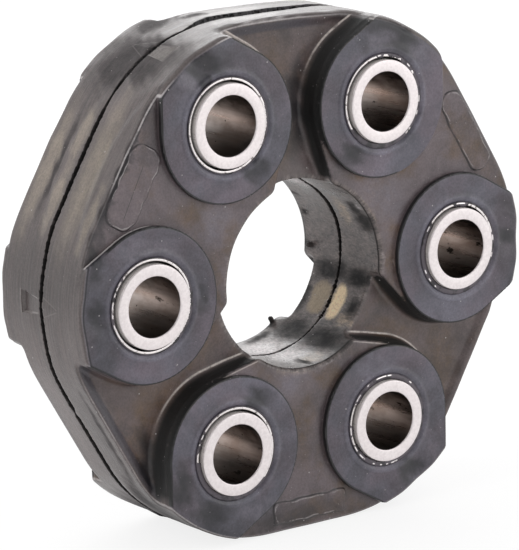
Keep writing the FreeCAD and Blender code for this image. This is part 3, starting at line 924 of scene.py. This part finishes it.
class Shader(Nodes):
    """The nodes of a new material. Places are in millimetres."""

    def __init__(self, name):
        self.material = bpy.data.materials.new(name)
        super().__init__(self.material)
        self.surface = self.nodes["Principled BSDF"]
        self.place = self.add("TexCoord").outputs["Object"]
        self.place = self.stretch(grey(1 / MM))

    def set(self, **values):
        for name, value in values.items():
            self.feed(self.surface.inputs[name.replace("_", " ")], value)

    def mix(self, amount, a, b, blend="MIX"):
        """A colour between two colours, or another blend of them."""
        return self.add("Mix", {0: amount, 6: a, 7: b}, data_type="RGBA", blend_type=blend).outputs[2]

    def scaled(self, color, factor):
        return self.mix(1.0, color, factor, "MULTIPLY")

    def cover(self, color, *layers):
        """The colour with layers over it in turn, each a shade and the amounts that it is laid on by."""
        for shade, *amounts in layers:
            color = self.mix(self.product(*amounts), color, shade)
        return color

    def line(self, value, middle, half_width, soft):
        """1 within half_width of middle, 0 beyond the soft edge."""
        away = self.math("ABSOLUTE", self.math("SUBTRACT", value, middle))
        return self.band(away, half_width + soft, half_width)

    def stretch(self, scale, place=None):
        return self.add("Mapping", {"Vector": place or self.place, "Scale": scale}).outputs[0]

    def noise(self, scale, detail=3.0, rough=0.55, place=None, distortion=0.0):
        values = {"Vector": place or self.place, "Scale": scale, "Detail": detail}
        node = self.add("TexNoise", {**values, "Roughness": rough, "Distortion": distortion})
        return node.outputs["Fac"]

    def attribute(self, name):
        return self.add("Attribute", attribute_name=name).outputs["Fac"]

    def split(self, vector=None):
        return self.add("SeparateXYZ", [vector or self.place]).outputs

    def combine(self, *values):
        return self.add("CombineXYZ", values).outputs[0]

    def specks(self, spacing, size, share):
        """Small dots scattered over the surface, on a share of the places."""
        node = self.add("TexVoronoi", {"Vector": self.place, "Scale": 1 / spacing})
        dot = self.band(node.outputs["Distance"], size / spacing, 0.6 * size / spacing)
        return self.product(dot, self.band(self.split(node.outputs["Color"])[0], share + 0.01, share))

    def bump(self, *heights):
        """Relief by the sum of the heights, in millimetres."""
        node = self.add("Bump", {"Height": self.total(*heights), "Strength": 1.0, "Distance": MM})
        self.links.new(node.outputs[0], self.surface.inputs["Normal"])


class RubberShader(Shader):
    """The disc's rubber, with the values that its regions share."""

    def __init__(self):
        super().__init__("moulded_rubber")
        self.x, self.y, self.z = self.split()
        self.depth = self.math("ABSOLUTE", self.y)
        for name in ("inside", "bore", "turn", "tone", "around"):
            setattr(self, name, self.attribute(name))
        self.rim = self.band(self.inside, 0.3, -0.2)
        self.skin = self.combine(self.turn, self.y)
        self.cloud = self.noise(0.10, 5, 0.62, distortion=0.9)
        self.streaks = self.noise(1.0, 3, 0.6, place=self.stretch((0.05, 1.6, 1), self.skin))
        self.blotches = self.noise(0.28, 5, 0.65, place=self.stretch((0.6, 1, 1), self.skin))
        self.ragged = self.noise(0.35, 4, 0.65)
        # Painted shade and dark spots.
        self.shade_and_dark_spots = self.ragged_mark("shade_and_dark_spots", 1.0, 0.8)
        # Painted shade on the steep walls, half as strong down at the recess floor.
        in_shade = self.band(self.depth, RECESS_FLOOR + 0.1, RECESS_FLOOR + 1.4, 0.5, 1.0)
        self.painted_wall_shade = self.product(self.attribute("painted_wall_shade"), in_shade)

    def ragged_mark(self, name, strength, evenness=0.35):
        """A mark's spots, stains and painted light and shade alike, broken raggedly down to a share of their
        strength.
        """
        worn = self.band(self.ragged, 0.3, 0.65, evenness * strength, strength)
        return self.product(self.attribute(name), worn)


def face_color(s):
    in_recess = s.band(s.depth, SKIRT_START + 0.8, SKIRT_START - 0.8)
    on_boss = s.band(s.depth, LAND_FACE + 0.25, LAND_FACE + 0.55)
    brown = s.highest(s.ragged_mark("stain", 1.0), s.band(s.noise(0.085, 4, 0.62), 0.46, 0.70, 0.0, 0.9))
    hue = s.band(s.noise(0.07, 3, 0.6), 0.38, 0.62)
    boss = s.mix(hue, (0.108, 0.089, 0.110), (0.094, 0.089, 0.112))
    lip = s.product(s.line(s.around, 10.5, 0.45, 0.5), s.band(s.ragged, 0.3, 0.6, 0.2, 0.5))
    face = s.mix(in_recess, (0.122, 0.097, 0.104), (0.118, 0.089, 0.088))
    boss = s.cover(boss, ((0.165, 0.160, 0.200), lip))
    face = s.cover(face, ((0.108, 0.070, 0.048), brown), (boss, on_boss))
    # Broad painted light and shade, and a random cloudy tone.
    face = s.scaled(face, s.math("MULTIPLY_ADD", s.tone, 0.42, s.band(s.cloud, 0.3, 0.7, 0.70, 1.26)))
    # Painted shade: a dark band inside the rim's edge in the recesses, and where a dark line is painted at
    # the edge of the bosses on the left.
    recess_edge_shade = s.product(s.line(s.inside, 1.2, 0.6, 0.7), in_recess, s.band(s.x, 12.0, 2.0))
    shaded_left_bosses = s.product(on_boss, s.band(s.x, -30.0, -36.0), s.band(s.z, -22.0, -18.0))
    wall, pad = s.attribute("wall"), s.attribute("pad")
    # Painted highlights along the walls' feet and tops, and painted light on the upper wall beside the first
    # boss.
    wall_foot, wall_top = s.line(wall, 1.2, 0.06, 0.22), s.line(wall, -0.35, 0.03, 0.16)
    lit_upper_wall = s.product(s.line(wall, 0.5, 0.6, 0.3), s.band(s.z, 37.0, 42.0), s.band(s.x, -8.0, -11.0))
    glints = s.highest(wall_foot, s.product(wall_top, 0.6), s.product(lit_upper_wall, 0.55))
    from_scratch = s.total(s.product(s.x, 0.894), s.product(s.z, -0.447), 47.83)
    scratch = s.product(s.line(from_scratch, 0.0, 0.02, 0.1), s.line(s.z, 23.0, 4.5, 1.0))
    return s.cover(
        face,
        ((0.062, 0.058, 0.072), recess_edge_shade, 0.75),
        ((0.180, 0.165, 0.200), s.ragged_mark("pale", 0.65)),
        # Painted shade with dark spots, painted shade on the steep walls, and a painted dark line at the edge
        # of the bosses on the left.
        ((0.012, 0.012, 0.015), s.shade_and_dark_spots, 0.9),
        (grey(0.005), s.painted_wall_shade, 0.96),
        ((0.010, 0.009, 0.012), s.line(s.inside, 0.42, 0.1, 0.18), shaded_left_bosses, 0.85),
        # Painted highlights where the walls face up.
        ((0.60, 0.53, 0.49), glints, s.attribute("upward"), s.band(s.ragged, 0.35, 0.55, 0.3, 1.0)),
        ((0.02, 0.018, 0.02), s.line(pad, 0.05, 0.05, 0.15), s.band(s.ragged, 0.3, 0.55, 0.35, 0.9)),
        ((0.4, 0.37, 0.37), s.line(pad, -0.3, 0.04, 0.14), s.band(s.ragged, 0.45, 0.6, 0.0, 0.6)),
        (grey(0.02), scratch, s.band(s.x, -30.0, -34.0), 0.8),
    )


def rim_color(s):
    # Painted sheen (the pale mark) and painted highlights (the stain mark) on the rim.
    rim = s.cover(
        s.mix(s.band(s.streaks, 0.3, 0.7), (0.080, 0.066, 0.066), (0.130, 0.106, 0.103)),
        ((0.270, 0.226, 0.180), s.ragged_mark("pale", 0.75, 0.6)),
        ((0.42, 0.39, 0.39), s.ragged_mark("stain", 1.0, 0.8)),
    )
    # Broad painted light and shade on the rim.
    rim = s.scaled(rim, s.math("MULTIPLY_ADD", s.tone, 0.5, 1.0))
    side, end, ridge_side = (s.attribute(name) for name in NOTCH_MARKS)
    start = NOTCH_START - NOTCH_REACH
    along_notch = s.product(s.band(end, 0.1, -0.2), s.band(end, start - 0.2, start + 1.0))
    lightened_end_wall = s.product(s.line(end, 0.1, 0.3, 0.3), s.band(side, 0.2, -0.1))
    lit_facet = s.product(along_notch, s.band(side, 0.0, -0.3), s.line(s.turn, 120.0, 5.0, 1.0))
    ridge_highlight = s.product(s.line(ridge_side, 0.0, 0.06, 0.14), s.band(end, -6.6, -7.2))
    ridge_highlight = s.product(ridge_highlight, s.band(end, -13.0, -12.4), s.band(s.around, 14.0, 15.0))
    # Painted shade, then painted highlights on the notches' sides and ridge, and painted light on the end
    # wall and the facet.
    return s.cover(
        rim,
        ((0.024, 0.021, 0.023), s.shade_and_dark_spots, 0.8),
        ((0.50, 0.46, 0.45), s.line(side, -0.15, 0.08, 0.16), along_notch, 0.3),
        ((0.16, 0.14, 0.135), lightened_end_wall, 0.6),
        ((0.27, 0.25, 0.24), lit_facet, s.band(s.ragged, 0.3, 0.55, 0.5, 0.85)),
        ((0.40, 0.36, 0.35), ridge_highlight, 0.14),
    )


def bore_color(s):
    # The stain mark in the bore is painted reflection: white patches.
    bore = s.cover(
        s.mix(s.band(s.blotches, 0.35, 0.65), (0.095, 0.078, 0.075), (0.200, 0.166, 0.158)),
        ((0.46, 0.35, 0.25), s.ragged_mark("pale", 0.85)),
        ((0.72, 0.64, 0.65), s.ragged_mark("stain", 0.8)),
    )
    bore = s.scaled(bore, s.band(s.noise(0.9, 3, 0.6, place=s.skin), 0.3, 0.7, 0.62, 1.3))
    loose = s.math("MULTIPLY_ADD", s.ragged, 1.4, -0.7)
    for spot, shade in ((BORE_SAND, (0.34, 0.265, 0.18)), (BORE_CREAM, (1.0, 0.78, 0.50))):
        middle_turn, middle_y, half_turn, half_y = spot
        along = s.math("MULTIPLY_ADD", s.turn, 1 / half_turn, -middle_turn / half_turn)
        over = s.math("MULTIPLY_ADD", s.y, 1 / half_y, -middle_y / half_y)
        away = s.total(s.math("POWER", s.math("ABSOLUTE", along), 4.0), s.product(over, over), loose)
        bore = s.mix(s.band(away, 1.25, 0.3), bore, shade)
    edge_line = s.line(s.depth, LAND_FACE - 0.95, 0.12, 0.2)
    # Painted shade and dark spots, then a dark line at the bore's edge.
    return s.cover(bore, ((0.007, 0.007, 0.008), s.shade_and_dark_spots), (grey(0.01), edge_line, 0.8))


def foot_layers(s):
    """Painted shade as a black line at the feet of the bosses, and a painted highlight as the white line
    below it on the left.
    """
    step = s.attribute("step")
    bare = s.math("MULTIPLY_ADD", s.band(s.x, -48.5, -50.5), s.band(s.z, 0.0, 2.0, 0.0, -1.0), 1.0)
    foot = s.product(s.line(step, 0.0, 0.3, 0.15), s.band(s.inside, 0.2, 0.5), bare)
    foot_highlight = s.product(s.line(step, 0.12, 0.12, 0.1), s.line(s.depth, LAND_FACE + 0.05, 0.2, 0.1))
    foot_highlight = s.product(foot_highlight, s.band(s.x, -37.5, -39.5), s.line(s.z, 12.0, 5.0, 0.8))
    return (
        (grey(0.006), foot, s.line(s.depth, LAND_FACE + 0.6, 0.45, 0.12), 0.92),
        ((0.60, 0.56, 0.56), foot_highlight, 0.85),
    )


def rubber_material():
    s = RubberShader()
    color = s.mix(s.bore, s.mix(s.rim, face_color(s), rim_color(s)), bore_color(s))
    shine = s.product(s.line(s.inside, 0.05, 0.06, 0.16), s.attribute("shine"))
    shine = s.product(shine, s.band(s.ragged, 0.35, 0.5, 0.5, 1.0))
    color = s.cover(color, ((0.62, 0.58, 0.58), shine), *foot_layers(s))
    color = s.scaled(color, s.band(s.noise(2.3, 2, 0.6), 0.3, 0.7, 0.86, 1.14))
    specks = s.highest(s.specks(2.6, 0.19, 0.45), s.product(s.specks(1.2, 0.11, 0.4), 0.6))
    across = s.attribute("across")
    beside_strip = s.line(s.math("ABSOLUTE", across), 0.38, 0.1, 0.14)
    # Painted shade in the slits, grey with dust near the top of the rim.
    slit_shade = s.band(s.attribute("slit"), -0.08, 0.02)
    slit_shade = s.product(slit_shade, s.blend(s.attribute("strip"), 1.0, beside_strip))
    dusty = s.product(s.band(s.turn, 113.0, 106.0), s.band(s.noise(1.1, 3, 0.6), 0.38, 0.55), s.rim)
    crumbs = s.band(s.noise(2.2, 2, 0.5, place=s.skin), 0.60, 0.66)
    torn = s.product(s.line(s.turn, -33, 13, 3), s.line(across, -0.1, 0.45, 0.3), s.bore, crumbs)
    color = s.cover(
        color,
        ((0.50, 0.47, 0.47), specks, 0.75),
        (s.mix(dusty, grey(0.003), (0.10, 0.094, 0.10)), slit_shade),
        ((0.55, 0.52, 0.46), torn, 0.9),
    )
    rough = s.band(s.cloud, 0.3, 0.7, 0.30, 0.44)
    for share, value in (
        (s.rim, s.band(s.streaks, 0.3, 0.7, 0.28, 0.40)),
        (s.bore, s.band(s.blotches, 0.3, 0.7, 0.24, 0.40)),
        (s.product(s.shade_and_dark_spots, s.highest(s.rim, s.bore)), 0.8),
        (s.painted_wall_shade, 0.75),
        (slit_shade, 0.9),
    ):
        rough = s.blend(share, rough, value)
    s.set(Base_Color=color, Roughness=rough, IOR=1.5)
    scratches = s.noise(1.0, 2, 0.5, place=s.stretch((0.12, 7.0, 1), s.skin))
    lines = s.total(s.product(scratches, 0.035), s.product(s.streaks, 0.06))
    lines = s.product(s.highest(s.rim, s.product(s.bore, 0.4)), lines)
    s.bump(s.product(s.noise(0.16, 3, 0.5), 0.25), s.product(s.noise(2.6, 3, 0.6), 0.014), lines)
    return s.material


def steel_material():
    s = Shader("sleeve_steel")
    x, y, z = s.split()
    depth = s.math("ABSOLUTE", y)
    around, over = s.attribute("around"), s.attribute("over")
    face = s.band(depth, SLEEVE_END - 0.3, SLEEVE_END - 0.12)
    streaks = s.noise(0.55, 4, 0.6, place=s.stretch((1.0, 0.06, 1.0)))
    patches = s.noise(0.22, 4, 0.6, place=s.stretch((1.0, 0.5, 1.0)))
    stain = s.noise(0.5, 4, 0.65, place=s.stretch((1.0, 0.4, 1.0)))
    shade = s.math("MULTIPLY_ADD", s.math("SUBTRACT", patches, 0.5), 1.2, over)
    inner = s.cover(
        s.mix(s.band(streaks, 0.35, 0.65), (0.40, 0.345, 0.32), (0.58, 0.525, 0.50)),
        ((0.27, 0.205, 0.17), s.band(patches, 0.4, 0.65, 0.0, 0.6)),
        ((0.05, 0.042, 0.038), s.band(shade, 0.15, 0.75, 0.0, 0.9)),
        ((0.07, 0.06, 0.054), s.band(shade, -0.45, -0.95, 0.0, 0.7)),
        ((0.035, 0.028, 0.022), s.band(stain, 0.60, 0.70)),
        ((0.03, 0.025, 0.02), s.specks(2.0, 0.22, 0.3)),
    )
    grain = s.noise(1.7, 3, 0.6)
    ring_place = s.combine(s.product(around, 7.0), s.product(x, 0.05), s.product(z, 0.05))
    rings = s.noise(1.0, 2, 0.5, place=ring_place)
    outer = s.mix(s.band(grain, 0.3, 0.7), (0.70, 0.645, 0.645), (0.80, 0.745, 0.745))
    outer = s.cover(outer, ((0.35, 0.28, 0.26), s.specks(2.8, 0.18, 0.2), 0.5))
    # Painted reflection: the sleeve's bare side near its end is pale and hardly metallic, to look as bright
    # as the white it mirrors.
    painted_bright_flank = s.band(around, SLEEVE_RADIUS - 0.12, SLEEVE_RADIUS - 0.04)
    painted_bright_flank = s.product(painted_bright_flank, s.band(depth, SLEEVE_END - 0.14, SLEEVE_END - 0.24))
    color = s.cover(inner, (outer, face), ((0.66, 0.61, 0.59), painted_bright_flank))
    s.set(Base_Color=color, Metallic=s.band(painted_bright_flank, 0.0, 1.0, 1.0, 0.2))
    s.set(Roughness=s.blend(face, s.band(streaks, 0.3, 0.7, 0.24, 0.38), s.band(grain, 0.3, 0.7, 0.36, 0.46)))
    s.bump(s.product(grain, 0.008), s.product(rings, 0.012), s.product(streaks, 0.008))
    return s.material


def collar_material():
    """Bright where the ring's end is bare, with painted black shade on its bevelled edge beside the sleeve.
    """
    s = Shader("collar_steel")
    grain = s.noise(1.9, 3, 0.6)
    stain = s.band(s.noise(0.9, 3, 0.6), 0.56, 0.66)
    shaded_bevel = s.band(s.attribute("around"), RING_INNER + 0.02, RING_INNER - 0.06)
    color = s.mix(s.band(grain, 0.3, 0.7), (0.74, 0.695, 0.69), (0.86, 0.815, 0.81))
    color = s.cover(color, ((0.12, 0.10, 0.095), stain, 0.8), (grey(0.008), shaded_bevel))
    s.set(Base_Color=color, Metallic=1.0, Roughness=s.band(grain, 0.3, 0.7, 0.26, 0.4))
    s.bump(s.product(grain, 0.01))
    return s.material


def flash_material():
    """The boss's own rubber, black where it runs thin and with bright collar edge in places."""
    s = Shader("rubber_flash")
    around = s.attribute("around")
    grain = s.noise(1.3, 3, 0.6)
    black = s.band(s.noise(0.35, 3, 0.6), 0.48, 0.62)
    # Painted shade: black where the flash meets the sleeve.
    gap_shade = s.math("MULTIPLY_ADD", grain, 0.25, around)
    gap_shade = s.band(gap_shade, SLEEVE_RADIUS + 0.36, SLEEVE_RADIUS + 0.2)
    dash = s.product(s.line(around, COLLAR_RADIUS - 0.1, 0.1, 0.08), s.attribute("dash"))
    dash = s.product(dash, s.band(s.noise(1.1, 2, 0.5), 0.36, 0.42))
    color = s.cover(
        (0.104, 0.088, 0.105),
        ((0.010, 0.010, 0.011), black, 0.75),
        (grey(0.006), gap_shade, 0.9),
        ((0.88, 0.83, 0.83), dash),
    )
    s.set(Base_Color=color, Roughness=s.band(grain, 0.3, 0.7, 0.3, 0.5), Metallic=dash, IOR=1.5)
    s.bump(s.product(grain, 0.05))
    return s.material


def cord_material():
    s = Shader("wound_cord")
    strands = s.noise(0.8, 2, 0.5, place=s.stretch((0.3, 4.0, 0.3)))
    color = s.mix(s.band(strands, 0.35, 0.65), (0.32, 0.27, 0.19), (0.60, 0.54, 0.42))
    s.set(Base_Color=color, Roughness=0.85)
    s.bump(s.product(strands, 0.2))
    return s.material


def give(thing, material):
    thing.data.materials.clear()
    thing.data.materials.append(material)


def added(name, data):
    thing = bpy.data.objects.new(name, data)
    bpy.context.scene.collection.objects.link(thing)
    return thing


def sized_area(name, energy, size, place):
    """A rectangular light that points at the disc's middle."""
    light = bpy.data.lights.new(name, "AREA")
    light.shape = "RECTANGLE"
    light.size, light.size_y = size
    light.energy = energy
    thing = added(name, light)
    thing.location = place
    thing.visible_camera = False
    thing.rotation_euler = (-Vector(place)).to_track_quat("-Z", "Y").to_euler()


def camera():
    """The view of the photograph, fitted to the disc's six sleeves."""
    place = Vector((-445.415, -605.392, 174.634)) * MM
    right = Vector((0.804, -0.595, -0.020))
    forward = Vector((0.575, 0.785, -0.229)).normalized()
    down = forward.cross(right).normalized()
    right = down.cross(forward).normalized()
    lens = bpy.data.cameras.new("view")
    lens.sensor_fit = "AUTO"
    lens.sensor_width = 36.0
    lens.lens = 244.80
    lens.clip_start = 0.01
    thing = added("view", lens)
    turn = Matrix((right, -down, -forward)).transposed().to_4x4()
    thing.matrix_world = Matrix.Translation(place) @ turn
    bpy.context.scene.camera = thing


def floor():
    """A white floor that keeps a faint shadow."""
    corners = np.array([(-1, -1), (1, -1), (1, 1), (-1, 1)]) * FLOOR_REACH
    points = np.insert(corners, 2, CAD_BOX[0][2] / MM, axis=1)
    thing = mesh_of("floor", points, np.array([[0, 1, 2, 3]]))
    s = Shader("pale_floor")
    s.set(Base_Color=grey(0.8), Roughness=0.6, Specular_IOR_Level=0.2)
    matt = {"Base Color": grey(0.25), "Roughness": 1.0, "Specular IOR Level": 0.0}
    seen = s.add("BsdfPrincipled", {**matt, "Emission Color": grey(1), "Emission Strength": 0.81})
    either = s.add("MixShader", [s.background_share(), s.surface.outputs[0], seen.outputs[0]])
    s.links.new(either.outputs[0], s.nodes["Material Output"].inputs["Surface"])
    give(thing, s.material)


def surroundings():
    """White behind the object and above it, dimmer on the camera's side where surfaces mirror it."""
    world = bpy.data.worlds.new("studio")
    s = Nodes(world)
    direction = s.add("TexCoord").outputs["Generated"]
    behind = s.add("VectorMath", [direction, (0.0, 0.8, 0.6)], operation="DOT_PRODUCT").outputs["Value"]
    room = s.band(behind, -0.35, 0.3, 0.25, 1.0)
    shown = s.highest(room, s.add("LightPath").outputs["Is Camera Ray"])
    background = s.nodes["Background"].inputs
    s.feed(background["Color"], grey(1))
    s.feed(background["Strength"], s.blend(s.background_share(), 0.6, shown))
    bpy.context.scene.world = world
    sized_area("behind", 5.5, (1.2, 0.6), (0.55, 0.85, 0.55))
    sized_area("right", 4.5, (0.9, 0.9), (0.75, -0.85, 0.15))
    sized_area("left", 3.5, (0.8, 0.8), (-0.95, 0.15, 0.45))


RUBBER = rubber_material()
STEEL = steel_material()
COLLAR = collar_material()
FLASH_RUBBER = flash_material()
CORD = cord_material()

disc = build_rubber()
give(disc, RUBBER)
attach(disc, "root")
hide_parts("rubber_body")
for number, angle in LOBE_ANGLES.items():
    sleeve = steel_sleeve(number, angle)
    give(sleeve, STEEL)
    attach(sleeve, "root")
    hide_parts(f"bolt_sleeve_{number}")
    for side in ("front", "rear"):
        ring = collar_ring(side, number, angle)
        give(ring, COLLAR)
        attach(ring, "root")
        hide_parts(f"collar_{side}_{number}")
        flash = rubber_flash(side, number, angle)
        give(flash, FLASH_RUBBER)
        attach(flash, "root")
for name, node in frame["nodes"].items():
    if "cord_loop" in name:
        give(node, CORD)

floor()
surroundings()
camera()
bpy.context.scene.view_settings.view_transform = "Standard"
